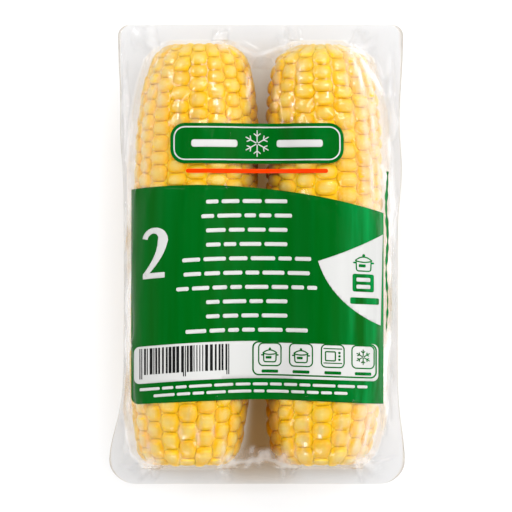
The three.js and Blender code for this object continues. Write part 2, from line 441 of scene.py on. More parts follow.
def kernel_edges(row, draw):
    """Where the kernels of one row begin and end. Every other row starts with half a kernel."""
    whole = np.arange(KERNELS_IN_ROW + 1.0)
    if row % 2:
        whole = np.concatenate([[0], whole[:-1] + 0.5, [KERNELS_IN_ROW]])
    jitter = draw.uniform(-EDGE_JITTER, EDGE_JITTER, whole.size)
    jitter[[0, -1]] = 0
    return along_cob((whole + jitter) / KERNELS_IN_ROW)


def kernels_of(cob, draw):
    """All the kernels of a cob as one mesh, with each kernel's tone and crown as attributes."""
    rows, middles, halves = [], [], []
    for row in range(cob.rows):
        edges = kernel_edges(row + 1, draw)
        middles.append((edges[:-1] + edges[1:]) / 2)
        halves.append((edges[:-1] - edges[1:]) / 2)
        rows.append(np.full(edges.size - 1, row))
    row, middle, half = (np.concatenate(parts)[:, None] for parts in (rows, middles, halves))
    count = row.size

    def jitter(size):
        return draw.uniform(-size, size, (count, 1))

    across, along, up = kernel_corners.T
    row_turn = 2 * math.pi / cob.rows
    y = middle + half * KERNEL_FILL * (along + jitter(TILT_JITTER) * across)
    wander = ROW_WANDER * np.sin(ROW_HALF_WAVES * math.pi * y / COB_LENGTH + row * row_turn)
    fit = KERNEL_FILL * (1 + jitter(TURN_JITTER))
    turn = row_turn * (row + 0.5 * fit * (across + jitter(TILT_JITTER) * along)) + wander
    full = cob_radius(cob, y)
    scale = full / cob.radius
    drop = DROP_JITTER * draw.uniform(0, 1, (count, 1)) ** 2
    lean = jitter(TILT_JITTER) * across + jitter(TILT_JITTER) * along
    reach = full - drop - scale * KERNEL_DEPTH * (1 - up - np.minimum(lean, 0)) / 2
    x = cob_x(cob, y) + reach * np.sin(turn)
    z = np.maximum(cob.height + reach * np.cos(turn), FLOOR_CLEARANCE)
    points = np.stack([x, y, z], axis=-1).reshape(-1, 3)
    corners = len(kernel_corners)
    faces = (kernel_faces[None] + corners * np.arange(count)[:, None, None]).reshape(-1, 4)
    mesh = bpy.data.meshes.new(f"{cob.name}_kernels")
    mesh.from_pydata((points * MM).tolist(), [], faces.tolist())
    middle_of_crown = np.clip(up, 0, 1) / (1 + ((across**2 + along**2) / CROWN_SPREAD) ** 2)
    values = {
        "crown": np.broadcast_to(middle_of_crown, (count, corners)),
        "tone": np.broadcast_to(draw.uniform(0, 1, (count, 1)), (count, corners)),
    }
    for name, value in values.items():
        mesh.attributes.new(name, "FLOAT", "POINT").data.foreach_set("value", value.ravel())
    return mesh, points, faces


draw = np.random.default_rng(7)
corn = kernel_material()
kernel_trees = {}
for cob in (LEFT_COB, RIGHT_COB):
    mesh, points, faces = kernels_of(cob, draw)
    kernel_trees[cob.name] = BVHTree.FromPolygons(points.tolist(), faces.tolist())
    finish_mesh(mesh, f"{cob.name}_kernels", corn)

# %% [markdown]
# ## The cob under the kernels
# Between the kernels and at the cut ends the cob itself shows. Between the kernels its bright deep
# yellow is painted light: a glow that stands in for the light the kernels pass into the grooves. Its
# half section is a line of points, spun round and then shifted sideways to follow the bend. The soft
# pith is a dent in the cut face.

# %% Spin the cores
CORE_DEPTH = 2.2
PITH_RADIUS = 4.2
PITH_DENT = 0.8
PITH_FLOOR = 0.8
CUT_RING = (0.62, 0.72)
CUT_MARGIN = 0.01
CORE_SHARE = 0.998
WELD_DISTANCE = 0.001
SPIN_STEPS = 48
CORE_STEPS = 40


def core_of(cob):
    """A cob without its kernels."""
    bm = bmesh.new()
    ys = HALF_COB * np.sin(np.linspace(-math.pi / 2, math.pi / 2, CORE_STEPS + 1)) * CORE_SHARE
    end = HALF_COB * CORE_SHARE
    barrel = [(cob_radius(cob, y) - CORE_DEPTH * cob_radius(cob, y) / cob.radius, y) for y in ys]
    floor = PITH_RADIUS * PITH_FLOOR
    profile = [(0, -end + PITH_DENT), (floor, -end + PITH_DENT), (PITH_RADIUS, -end)]
    profile += [(share * barrel[0][0], -end) for share in CUT_RING]
    profile += barrel
    profile += [(share * barrel[-1][0], end) for share in reversed(CUT_RING)]
    profile += [(PITH_RADIUS, end), (floor, end - PITH_DENT), (0, end - PITH_DENT)]
    verts = [bm.verts.new((radius, y, 0)) for radius, y in profile]
    edges = [bm.edges.new(pair) for pair in zip(verts[:-1], verts[1:])]
    bmesh.ops.spin(
        bm,
        geom=verts + edges,
        cent=(0, 0, 0),
        axis=(0, 1, 0),
        angle=2 * math.pi,
        steps=SPIN_STEPS,
        use_merge=True,
    )
    bmesh.ops.remove_doubles(bm, verts=bm.verts[:], dist=WELD_DISTANCE)
    bmesh.ops.recalc_face_normals(bm, faces=bm.faces[:])
    cut = bm.verts.layers.float.new("cut")
    for vert in bm.verts:
        rim = barrel[-1][0] if vert.co.y > 0 else barrel[0][0]
        inner = math.hypot(vert.co.x, vert.co.z) < rim * (CUT_RING[0] + CUT_MARGIN)
        if inner and abs(vert.co.y) > end - PITH_DENT - CUT_MARGIN:
            vert[cut] = 1.0
        vert.co.x += float(cob_x(cob, vert.co.y))
        vert.co.z += cob.height
    return bm


cut_cob = core_material()
for cob in (LEFT_COB, RIGHT_COB):
    finish_piece(core_of(cob), f"{cob.name}_core", cut_cob)

# %% [markdown]
# ## The film's form
# The film leaves the sealed border a little way off a cob, climbs to the cob's flank, runs over it,
# sags between the two cobs, and comes down again on the other side. A section at one y is a chain of
# short curves, with the same number of points at every y, so the sections make a grid.

# %% Film measures
FILM_LIFT = 0.22
BORDER_HALF_GAP = 0.18
WALL_REACH = 3.0
LEAST_BORDER = 0.8
WALL_TURN = math.radians(72)
WALL_HANDLE = 0.45
BORDER_SLOPE = np.array([0.5, 0.0])
LEAVING_MIDDLE = 26.0
LEAVING_GROWTH = 38.0
SPAN_HANDLE = 0.35
END_REACH = 2.4
END_DESCENT = 2.2
BORDER_WAVE = 1.1
BORDER_HALF_WAVES = 5
WAVE_STRIP = 6.0
WAVE_START = 16.0
BORDER_TAPER = 4.0
VALLEY_X = 1.6
VALLEY_SPREAD = 6.5
HAMMOCK = {1: SimpleNamespace(depth=0.5, ramp=9.0), -1: SimpleNamespace(depth=-1.0, ramp=8.0)}
CORNER_RADIUS = {1: 4.0, -1: 9.0}
STRAIGHT_REACH = {-1: 51.4, 1: 54.0}
FLARES = {
    # how far the border flares out, where along the bag, and over what spread
    -1: [(5.6, -0.9, 0.2), (1.1, 0.52, 0.16), (2.2, 0.95, 0.3)],
    1: [(2.8, -0.9, 0.2), (1.6, 0.36, 0.16), (2.2, 0.95, 0.3)],
}
BORDER_STEPS, WALL_STEPS, ARC_STEPS, SPAN_STEPS = 11, 12, 70, 22
OUTLINE_STRIP, OUTLINE_ROWS = 7.0, 11
END_STRIP, END_ROWS = (2.4, -1.2), 10
COB_STRIP_START, COB_ROWS = -2.0, 84
LOWEST_FILM = 0.1


def bump(value, middle, spread):
    """A smooth hump of height 1 round the middle."""
    return np.exp(-(((value - middle) / spread) ** 2))


def border_reach(y, side):
    """How far the border reaches to one side at y, with its rounded corners."""
    v = y / (BAG_LENGTH / 2)
    straight = STRAIGHT_REACH[side]
    for flare, middle, spread in FLARES[side]:
        straight = straight + flare * bump(v, middle, spread)
    corner = np.where(y > 0, CORNER_RADIUS[1], CORNER_RADIUS[-1])
    into = np.maximum(0, corner - (BAG_LENGTH / 2 - np.abs(y)))
    return straight - corner + np.sqrt(np.maximum(0, corner**2 - into**2))


row_places = np.concatenate(
    [
        BAG_LENGTH / 2 - OUTLINE_STRIP * (1 - np.cos(np.linspace(0, math.pi / 2, OUTLINE_ROWS))),
        np.linspace(HALF_COB + END_STRIP[0], HALF_COB + END_STRIP[1], END_ROWS),
        np.linspace(HALF_COB + COB_STRIP_START, 0, COB_ROWS),
    ]
)
row_places = np.unique(np.round(np.concatenate([-row_places, row_places]), 4))
WIDEST = {side: border_reach(row_places, side).max() for side in (-1, 1)}


def bridge(start, leave, end, arrive, reach, steps):
    """A smooth curve from start to end without the end, leaving and arriving along two slopes."""
    handle = reach * np.linalg.norm(end - start)
    near, far = start + handle * leave, end - handle * arrive
    t = np.arange(steps)[:, None] / steps
    return start * (1 - t) ** 3 + 3 * near * t * (1 - t) ** 2 + 3 * far * t**2 * (1 - t) + end * t**3


def film_section(y, side):
    """The points of the film's section at y. side is 1 for the front and -1 for the back."""
    inside = float(np.clip(y, -HALF_COB, HALF_COB))
    beyond = max(0.0, abs(y) - HALF_COB) / END_REACH
    level = BORDER_HEIGHT + side * BORDER_HALF_GAP

    def on_cob(cob, turn):
        radius = cob_radius(cob, inside) + FILM_LIFT
        x = cob_x(cob, inside) + radius * np.sin(turn)
        z = cob.height + side * radius * np.cos(turn)
        return np.stack([x, z], axis=-1)

    def along(turn):
        return np.array([math.cos(turn), -side * math.sin(turn)])

    leaving = math.radians(LEAVING_MIDDLE + LEAVING_GROWTH * (inside / HALF_COB) ** 2)
    edges = {s: BAG_WIDTH / 2 / WIDEST[s] * float(border_reach(y, s)) for s in (-1, 1)}
    feet = {}
    for cob, s in ((LEFT_COB, -1), (RIGHT_COB, 1)):
        flank = abs(float(cob_x(cob, inside))) + float(cob_radius(cob, inside))
        feet[s] = min(flank + WALL_REACH, edges[s] - LEAST_BORDER)
    chain = [np.linspace((-edges[-1], level), (-feet[-1], level), BORDER_STEPS, endpoint=False)]
    start, end = np.array([-feet[-1], level]), on_cob(LEFT_COB, -WALL_TURN)
    chain.append(bridge(start, BORDER_SLOPE, end, along(-WALL_TURN), WALL_HANDLE, WALL_STEPS))
    chain.append(on_cob(LEFT_COB, np.linspace(-WALL_TURN, leaving, ARC_STEPS, endpoint=False)))
    start, end = on_cob(LEFT_COB, leaving), on_cob(RIGHT_COB, -leaving)
    chain.append(bridge(start, along(leaving), end, along(-leaving), SPAN_HANDLE, SPAN_STEPS))
    chain.append(on_cob(RIGHT_COB, np.linspace(-leaving, WALL_TURN, ARC_STEPS, endpoint=False)))
    start, end = on_cob(RIGHT_COB, WALL_TURN), np.array([feet[1], level])
    chain.append(bridge(start, along(WALL_TURN), end, BORDER_SLOPE, WALL_HANDLE, WALL_STEPS))
    chain.append(np.linspace((feet[1], level), (edges[1], level), BORDER_STEPS + 1))
    x, z = np.concatenate(chain).T
    rise = side * (z - level)
    rise = np.maximum(rise, 0) * max(0.0, 1 - beyond) ** END_DESCENT
    hammock = HAMMOCK[1 if y > 0 else -1]
    parted = np.clip((HALF_COB - hammock.depth - abs(y)) / hammock.ramp, 0, 1)
    rise = rise * (1 - bump(x, VALLEY_X, VALLEY_SPREAD) * (1 - parted**2 * (3 - 2 * parted)))
    to_outline = np.minimum(np.minimum(x + edges[-1], edges[1] - x), BAG_LENGTH / 2 - abs(y))
    level = BORDER_HEIGHT + side * BORDER_HALF_GAP * np.clip(to_outline / BORDER_TAPER, 0, 1)
    z = level + side * rise
    start_share = min(1.0, (BAG_LENGTH / 2 - abs(y)) / WAVE_START)
    wave = BORDER_WAVE * math.sin(BORDER_HALF_WAVES * math.pi * y / BAG_LENGTH) * start_share
    distances = (edges[-1] + x, edges[1] - x)
    near_left, near_right = (np.clip(1 - distance / WAVE_STRIP, 0, 1) for distance in distances)
    z = z + wave * (near_left - near_right) * np.exp(-rise)
    return np.stack([x, np.full_like(x, y), z], axis=-1)


def film_grid(side):
    """The film's sections at every y as one grid of points."""
    grid = np.array([film_section(y, side) for y in row_places])
    grid[..., 2] = np.maximum(grid[..., 2], LOWEST_FILM)
    return grid


# %% [markdown]
# ## Film drawn onto the kernels
# Vacuum pulls the film in between the kernels, and its own tension holds it out. Each grid point may
# move in along the surface's normal. It sinks a little at every step, is evened out with its four
# neighbours, and never goes past the kernel under it. After some dozens of steps the film rests on
# the crowns and sags between them, less where the inks make it stiffer.

# %% Settle the film
RAY_START = 2.0
DEEPEST = 3.2
HOLD_STEPS = 3
SETTLE_STEPS = 90
PULL_CLEAR = 0.055
PULL_PRINTED = 0.0035
KEEP_CLEAR = 0.06
WALL_COLUMNS = BORDER_STEPS + WALL_STEPS - 3
INNER = np.s_[1:-1, 1:-1]


def grid_normals(grid):
    """Unit normals of a grid of points, for rows along +Y and columns along +X."""
    across = np.gradient(grid, axis=1)
    along = np.gradient(grid, axis=0)
    normal = np.cross(across, along)
    return normal / np.maximum(np.linalg.norm(normal, axis=-1, keepdims=True), 1e-9)


PLAQUE = (-33.0, 34.6, 33.0, 50.0)
STRIPE_Y = 31.0
FIELD_TOP, TOP_BOW, TOP_MIDDLE = 26.4, 0.0021, -22.0
FIELD_BOTTOM, BOTTOM_BOW = -55.4, 0.0009
FIELD_HALF_WIDTH = 48.4
PRINT_MARGIN = 1


def print_top(x):
    """The y of the printed field's upper edge."""
    return FIELD_TOP - TOP_BOW * (x - TOP_MIDDLE) ** 2


def print_bottom(x):
    """The y of the printed field's lower edge."""
    return FIELD_BOTTOM - BOTTOM_BOW * x * x


def is_printed(grid):
    """Which points of a front film grid lie under the printed field or the plaque."""
    x, y = grid[..., 0], grid[..., 1]
    field = (y < print_top(x)) & (y > print_bottom(x)) & (np.abs(x) < FIELD_HALF_WIDTH)
    left, _, right, top = PLAQUE
    beside = (x > left - PRINT_MARGIN) & (x < right + PRINT_MARGIN)
    return field | (beside & (y > STRIPE_Y - PRINT_MARGIN) & (y < top + PRINT_MARGIN))


def neighbour_mean(values):
    """The mean of the four neighbours of every inner point of a grid."""
    return (values[:-2, 1:-1] + values[2:, 1:-1] + values[1:-1, :-2] + values[1:-1, 2:]) / 4


def settle(grid, side):
    """Draws a film grid onto the kernels."""
    normal = side * grid_normals(grid)
    rows, columns = grid.shape[:2]
    gap = np.full((rows, columns), np.nan)
    for i in range(rows):
        if abs(row_places[i]) >= HALF_COB:
            continue
        for j in range(WALL_COLUMNS, columns - WALL_COLUMNS):
            tree = kernel_trees["left" if grid[i, j, 0] < 0 else "right"]
            start = Vector(grid[i, j] + RAY_START * normal[i, j])
            hit = tree.ray_cast(start, Vector(-normal[i, j]), RAY_START + DEEPEST)
            if hit[0] is not None:
                gap[i, j] = hit[3] - RAY_START
    on_corn = np.isfinite(gap)
    floor = np.where(on_corn, KEEP_CLEAR - gap, -DEEPEST)
    pull = np.where(is_printed(grid) & (side > 0), PULL_PRINTED, PULL_CLEAR) * on_corn
    sink = np.zeros((rows, columns))
    hold = np.zeros((rows, columns))
    hold[on_corn] = 1
    for _ in range(HOLD_STEPS):
        hold[INNER] = np.minimum(hold[INNER], neighbour_mean(hold))
    for _ in range(SETTLE_STEPS):
        even = sink.copy()
        even[INNER] = neighbour_mean(sink)
        sink = np.maximum(even - pull, floor) * hold
    print(f"film side {side}: sinks up to {-sink.min():.2f} mm, stands up to {sink.max():.2f} mm")
    return grid + normal * sink[..., None]


# %% [markdown]
# ## Painted shade and painted sheen on the film
# Between the cobs and along their lower ends the film is tinted brown: painted shade for the shadow
# there and the corn's warm light. Its cut edge is darker too, as a sealed edge is. Along its creases,
# and where it leaves the outer flanks for the border, most on the right, it turns a pale white:
# painted sheen for the lights it would mirror.

# %% Where the film has painted shade and painted sheen
VALLEY_END = {1: (84, 45), -1: (90, 16)}
VALLEY_MARGIN = 3.0
CUT_EDGE = 0.3
END_SHADE = SimpleNamespace(most=0.22, y=-82.0, spread=2.4, off_valley=14, half_width=46, fade=8)
FULL_CREASE = 0.35
CREASE_PAINTED_SHEEN = 0.65
# Painted sheen where the film leaves the outer flanks, strongest on the right, towards the light there.
FLANK_PAINTED_SHEEN = {"left": 0.3, "right": 0.8}
FLANK_MIDDLE, FLANK_SPREAD = -4.0, 5.0
FLANK_END, FLANK_FADE = HALF_COB + 3, 9
STREAK_LEVEL, STREAK_DEPTH = 0.65, 0.35
STREAKS_ACROSS, STREAKS_SLANT, STREAKS_ALONG = 1.9, 0.05, 0.16
OUTLINE_EDGES = (np.s_[0], np.s_[-1], np.s_[:, 0], np.s_[:, -1])


def cob_edge(cob, y, side):
    """The x of a cob's flank on one side, for every y."""
    inside = np.clip(y, -HALF_COB, HALF_COB)
    return cob_x(cob, inside) + side * cob_radius(cob, inside)


def painted_shade_and_cut_edge(grid):
    """Painted shade on the film between the cobs and at their lower ends, and its darker cut edge."""
    x, y = grid[..., 0], grid[..., 1]
    half_gap = 0.5 * (cob_edge(RIGHT_COB, y, -1) - cob_edge(LEFT_COB, y, 1)) + VALLEY_MARGIN
    end, fade = (np.where(y > 0, VALLEY_END[1][i], VALLEY_END[-1][i]) for i in (0, 1))
    share = np.exp(-(((x - VALLEY_X) / half_gap) ** 4)) * np.clip((end - np.abs(y)) / fade, 0, 1)
    # Painted shade also lies along the lower cob ends, beside the valley.
    off_valley = 1 - bump(x, VALLEY_X, END_SHADE.off_valley)
    within = np.clip((END_SHADE.half_width - np.abs(x)) / END_SHADE.fade, 0, 1)
    share += END_SHADE.most * bump(y, END_SHADE.y, END_SHADE.spread) * off_valley * within
    for edge in OUTLINE_EDGES:
        share[edge] = CUT_EDGE
    return share


def painted_sheen_share(grid, lift):
    """Painted sheen on the film: along its creases, and where it leaves an outer flank for the border.
    """
    x, y = grid[..., 0], grid[..., 1]
    # Painted sheen along the creases stands in for the glints on their ridges.
    painted_sheen = CREASE_PAINTED_SHEEN * np.clip(lift / FULL_CREASE, 0, 1)
    fade = np.clip((FLANK_END - np.abs(y)) / FLANK_FADE, 0, 1)
    for cob, side in ((LEFT_COB, -1), (RIGHT_COB, 1)):
        beyond = side * (x - cob_edge(cob, y, side))
        slanted = np.sin(STREAKS_ACROSS * beyond + STREAKS_SLANT * y)
        streaks = STREAK_LEVEL + STREAK_DEPTH * slanted * np.sin(STREAKS_ALONG * y)
        painted_sheen += FLANK_PAINTED_SHEEN[cob.name] * streaks * fade * bump(beyond, FLANK_MIDDLE, FLANK_SPREAD)
    return np.clip(painted_sheen, 0, 1)


# %% Sew the front and back films into one bag
def film_bag(grids, shares):
    """One closed bag from two grids that share their outline."""
    bm = bmesh.new()
    layers = {name: bm.verts.layers.float.new(name) for name in shares[1]}
    rows, columns = grids[1].shape[:2]
    for side, grid in grids.items():
        made = bmesh.ops.create_grid(bm, x_segments=columns - 1, y_segments=rows - 1, size=1)
        faces = {face for vert in made["verts"] for face in vert.link_faces}
        for vert in made["verts"]:
            j = round((vert.co.x + 1) / 2 * (columns - 1))
            i = round((vert.co.y + 1) / 2 * (rows - 1))
            vert.co = grid[i, j]
            for name, layer in layers.items():
                vert[layer] = float(shares[side][name][i, j])
        if side < 0:
            bmesh.ops.reverse_faces(bm, faces=list(faces))
    outline = [vert for vert in bm.verts if vert.is_boundary]
    bmesh.ops.remove_doubles(bm, verts=outline, dist=WELD_DISTANCE)
    return bm


# %% [markdown]
# ## Creases
# Film that is drawn in has too much length where it goes from a cob's round end to the flat border, so
# it gathers there in fans of small creases. Others run down the flanks and over the kernels. Each is a
# low ridge along a short line that fades out at both ends. In the border the two films are welded, so
# there each takes the other's creases too.

# %% Where the creases run
FANS = [
    # x, y, direction in degrees, spread, number, length
    (-38, 79, 125, 32, 8, 11),
    (-15, 79.5, 62, 30, 6, 8),
    (14, 79, 118, 30, 6, 8),
    (37, 78, 52, 32, 8, 11),
    (-39, -78, 232, 34, 9, 11),
    (-12.5, -78.5, 292, 34, 7, 8),
    (13, -77.5, 245, 34, 7, 8),
    (38.5, -77.5, 310, 34, 9, 11),
    (1, -75, 270, 50, 7, 6),
]
FOLDS = [
    # x, y, end x, end y, height and width of the long folds in the front film
    (39.5, 76, 49.6, 60.5, 0.6, 0.9),
    (45.5, 78, 49, 66, 0.4, 0.8),
    (51.6, 58, 52.4, -6, 0.35, 0.8),
    (53.4, 30, 52, -50, 0.3, 0.7),
    (-49.8, -64, -51, -80, 0.5, 0.9),
    (-43, -81, -53, -74, 0.4, 0.8),
    (-45.5, -83.5, -54, -80.5, 0.35, 0.8),
    (44, -81.5, 54.5, -77, 0.35, 0.8),
    (-48.8, 87, -46.4, 78, 0.4, 0.8),
    (-50.5, 70, -50, 22, 0.3, 0.8),
    (-16, -82.4, -5, -78.8, 0.45, 0.7),
    (-9, -80.2, 6, -78.2, 0.45, 0.7),
    (2, -78.4, 17, -82.2, 0.45, 0.7),
    (-9, 80.6, 1, 75.6, 0.4, 0.7),
    (-2, 75.8, 11, 80.4, 0.4, 0.7),
]
FAN_CREASE = SimpleNamespace(length=(0.6, 1.15), height=(0.22, 0.42), width=0.95)
FAN_SCATTER = 2.5
FLANK_CREASE = SimpleNamespace(length=(9, 26), height=(0.25, 0.5), width=0.8, lean=9)
FLANK_CREASES, FLANK_Y = 16, (-72, 66)
FLANK_X, FLANK_SCATTER = 49.6, (-1.2, 3.5)
CORN_STREAK = SimpleNamespace(length=(7, 18), height=(0.12, 0.3), width=0.7, lean=8)
UPPER_STREAKS, UPPER_Y = 16, (30, 66)
LOWER_STREAKS, LOWER_Y = 8, (-80, -66)
STREAK_REACH = 0.85
RIPPLE_PLACES = (-46.2, -42.5, 31.0, 34.8, 38.4, 41.8, 44.4, 46.8)
RIPPLE_HEIGHTS = (0.10, 0.05, 0.05, 0.09, 0.07, 0.10, 0.10, 0.12)
RIPPLE_WIDTH = 1.1
RIPPLE_MIDDLE, RIPPLE_REACH = -15, 42
CREASE_LIMIT = 0.35


def draw_creases(draw):
    """Creases of one film as rows of x, y, end x, end y, height and width."""
    creases = []

    def add(x, y, turn, kind, scale=1.0):
        length = scale * draw.uniform(*kind.length)
        end = (x + length * math.cos(turn), y + length * math.sin(turn))
        creases.append((x, y, *end, draw.uniform(*kind.height), kind.width))

    def add_upright(x, y, kind):
        add(x, y, math.radians(90 + draw.uniform(-kind.lean, kind.lean)), kind)

    for x, y, toward, spread, number, length in FANS:
        share = (np.arange(number) + draw.uniform(0, 1, number)) / number
        for turn in np.radians(toward + spread * (2 * share - 1)):
            start = FAN_SCATTER * draw.uniform(-1, 1, 2)
            add(x + start[0], y + start[1], turn, FAN_CREASE, length)
    for side in (-1, 1):
        for y in draw.uniform(*FLANK_Y, FLANK_CREASES):
            add_upright(side * (FLANK_X + draw.uniform(*FLANK_SCATTER)), y, FLANK_CREASE)
    for cob in (LEFT_COB, RIGHT_COB):
        upper = draw.uniform(*UPPER_Y, UPPER_STREAKS)
        lower = draw.uniform(*LOWER_Y, LOWER_STREAKS)
        for y in np.concatenate([upper, lower]):
            x = cob_x(cob, y) + draw.uniform(-STREAK_REACH, STREAK_REACH) * cob_radius(cob, y)
            add_upright(float(x), y, CORN_STREAK)
    return creases


def crease_lift(grid, creases):
    """How far the creases lift each point of a film grid."""
    x, y = grid[..., 0], grid[..., 1]
    lift = np.zeros(x.shape)
    for x0, y0, x1, y1, height, width in creases:
        length = math.hypot(x1 - x0, y1 - y0)
        share = ((x - x0) * (x1 - x0) + (y - y0) * (y1 - y0)) / length**2
        aside = ((x - x0) * (y1 - y0) - (y - y0) * (x1 - x0)) / length
        lift += height * np.exp(-((aside / width) ** 2)) * np.clip(4 * share * (1 - share), 0, 1)
    return CREASE_LIMIT * np.tanh(lift / CREASE_LIMIT)


def field_ripples(grid):
    """Low ridges that run down the printed field."""
    printed = bump(grid[..., 1], RIPPLE_MIDDLE, RIPPLE_REACH)
    ripples = zip(RIPPLE_PLACES, RIPPLE_HEIGHTS)
    return printed * sum(height * bump(grid[..., 0], x, RIPPLE_WIDTH) for x, height in ripples)


# %% Settle and crease both films, and sew them
BORDER_RIPPLE = 0.16
RIPPLE_SLANTS = ((3.1, 4.7), (5.3, -3.7))

crease_draw = np.random.default_rng(5)
films = {side: settle(film_grid(side), side) for side in (1, -1)}
creases = {side: draw_creases(crease_draw) for side in (1, -1)}
creases[1] += FOLDS
lifts = {side: crease_lift(films[side], creases[side]) for side in (1, -1)}
shares = {side: {"painted_sheen": painted_sheen_share(films[side], lifts[side])} for side in (1, -1)}
lifts[1] = lifts[1] * ~is_printed(films[1]) + field_ripples(films[1])
creased = {}
for side, grid in films.items():
    x, y, z = grid[..., 0], grid[..., 1], grid[..., 2]
    welded = np.exp(-np.abs(z - BORDER_HEIGHT))
    ripple = sum(np.sin(x / across + y / along) for across, along in RIPPLE_SLANTS)
    up = welded * (BORDER_RIPPLE * ripple - side * lifts[-side])
    creased[side] = grid + side * grid_normals(grid) * lifts[side][..., None]
    creased[side][..., 2] = np.maximum(creased[side][..., 2] + up, LOWEST_FILM)
    print(f"film side {side}: creases stand up to {lifts[side].max():.2f} mm")
front, back = creased[1], creased[-1]
seam = (front + back) / 2
for grid in (front, back):
    for edge in OUTLINE_EDGES:
        grid[edge] = seam[edge]
for side in (1, -1):
    # The valley value carries the painted shade and the darker cut edge.
    shares[side]["valley"] = painted_shade_and_cut_edge(creased[side])
finish_piece(film_bag(creased, shares), "clear_film", film_material())

# %% [markdown]
# ## The inks
# The print lies on the front film. Each ink is drawn flat, as outlines in millimetres, and cut along
# the film's own columns and rows, so that it can bend with it. Then it is let down onto the film from
# above and given a hair's thickness. Inks that overlap lie in layers, as they are printed.

# %% Lay flat outlines on the film
INK_LAYER = 0.05
INK_THICKNESS = 0.03
DROP_HEIGHT = 100
CUT_TOLERANCE = 1e-5
SAME_PLACE = 1e-4
SAG_MIDDLE, SAG_LEFT, SAG_RIGHT = -2.7, 0.0013, 0.0006
FILM_ROWS, FILM_COLUMNS = front.shape[:2]
first_corners = np.arange((FILM_ROWS - 1) * FILM_COLUMNS)
first_corners = first_corners[first_corners % FILM_COLUMNS != FILM_COLUMNS - 1]
film_quads = first_corners[:, None] + [0, 1, FILM_COLUMNS + 1, FILM_COLUMNS]
front_tree = BVHTree.FromPolygons(front.reshape(-1, 3).tolist(), film_quads.tolist())
LINES_ROW = FILM_ROWS // 2 - 15
cut_columns = front[LINES_ROW, :, 0]
cut_rows = row_places[::2]


def field_sag(x):
    """The print was laid out straight, and dips to both sides where the film bends round the cobs."""
    return -np.where(x < SAG_MIDDLE, SAG_LEFT, SAG_RIGHT) * (x - SAG_MIDDLE) ** 2


def cut_along(bm, axis, places):
    """Cuts a flat mesh along lines at the given places of one axis."""
    reach = [vert.co[axis] for vert in bm.verts]
    across = Vector((axis == 0, axis == 1, 0))
    for place in places:
        if min(reach) < place < max(reach):
            parts = bm.verts[:] + bm.edges[:] + bm.faces[:]
            middle = across * place
            bmesh.ops.bisect_plane(bm, geom=parts, plane_co=middle, plane_no=across, dist=CUT_TOLERANCE)


def lay_on_film(name, outlines, layer, material, sag=None):
    """A printed ink from flat outlines, laid on the front film."""
    bm = bmesh.new()
    for outline in outlines:
        bm.faces.new([bm.verts.new((x, y, 0)) for x, y in outline])
    bmesh.ops.triangulate(bm, faces=bm.faces[:])
    cut_along(bm, 0, cut_columns)
    if sag:
        for vert in bm.verts:
            vert.co.y += float(sag(vert.co.x))
    cut_along(bm, 1, cut_rows)
    bmesh.ops.remove_doubles(bm, verts=bm.verts[:], dist=SAME_PLACE)
    for vert in bm.verts:
        above = Vector((vert.co.x, vert.co.y, DROP_HEIGHT))
        place, normal, _, _ = front_tree.ray_cast(above, Vector((0, 0, -1)))
        vert.co = place + normal * (INK_LAYER * layer + INK_THICKNESS)
    for face in bm.faces:
        face.normal_update()
    down = [face for face in bm.faces if face.normal.z < 0]
    bmesh.ops.reverse_faces(bm, faces=down)
    bmesh.ops.solidify(bm, geom=bm.faces[:], thickness=INK_THICKNESS)
    finish_piece(bm, name, material)


# %% Flat shapes to print
def arc(x, y, radius, start, end, steps=6):
    """Points on an arc, from start to end in degrees."""
    turns = np.radians(np.linspace(start, end, steps + 1))
    return [(x + radius * math.cos(turn), y + radius * math.sin(turn)) for turn in turns]


def rounded(left, bottom, right, top, radius):
    """A rectangle with rounded corners."""
    return (
        arc(left + radius, bottom + radius, radius, 180, 270)
        + arc(right - radius, bottom + radius, radius, 270, 360)
        + arc(right - radius, top - radius, radius, 0, 90)
        + arc(left + radius, top - radius, radius, 90, 180)
    )


def swept(start, bend, end, steps=24):
    """A plain curve that leaves start towards bend and comes to end from bend."""
    start, bend, end = (np.array(point, dtype=float) for point in (start, bend, end))
    t = np.linspace(0, 1, steps + 1)[:, None]
    return [tuple(point) for point in start * (1 - t) ** 2 + 2 * bend * t * (1 - t) + end * t**2]


def inset(box, distance):
    """The left, bottom, right and top of a box, all moved inwards."""
    left, bottom, right, top = box
    return left + distance, bottom + distance, right - distance, top - distance


def line_along(path, width, closed=False):
    """A line of some width along a path, as four-cornered pieces end to end. The width may vary."""
    path = np.array(path)
    if closed:
        ahead = np.roll(path, -1, axis=0) - np.roll(path, 1, axis=0)
    else:
        ahead = np.gradient(path, axis=0)
    side = np.stack([-ahead[:, 1], ahead[:, 0]], axis=1)
    side *= (np.broadcast_to(width, len(path)) / 2 / np.linalg.norm(side, axis=1))[:, None]
    left, right = path + side, path - side
    pairs = [(i, (i + 1) % len(path)) for i in range(len(path) - (not closed))]
    return [[tuple(right[i]), tuple(right[j]), tuple(left[j]), tuple(left[i])] for i, j in pairs]


def row_of_bars(left, right, y, height, draw):
    """A row of plain bars of uneven length."""
    bars = []
    while right - left > 1.5 * height:
        length = min(draw.uniform(4.0, 9.5), right - left)
        if right - left - length < 3 * height:
            length = right - left
        bars.append(rounded(left, y, left + length, y + height, 0.4 * height))
        left += length + 0.8 * height
    return bars


# %% [markdown]
# ## The green field
# It spans both cobs. Its upper edge bows and its lower left corner is rounded. In the middle stand ten
# centred rows of plain bars, with a large plain number beside them.

# %% Print the green field
FIELD_LEFT, FIELD_RIGHT = -48.3, 48.6
FIELD_CORNER = 2.6
EDGE_STEPS = 50

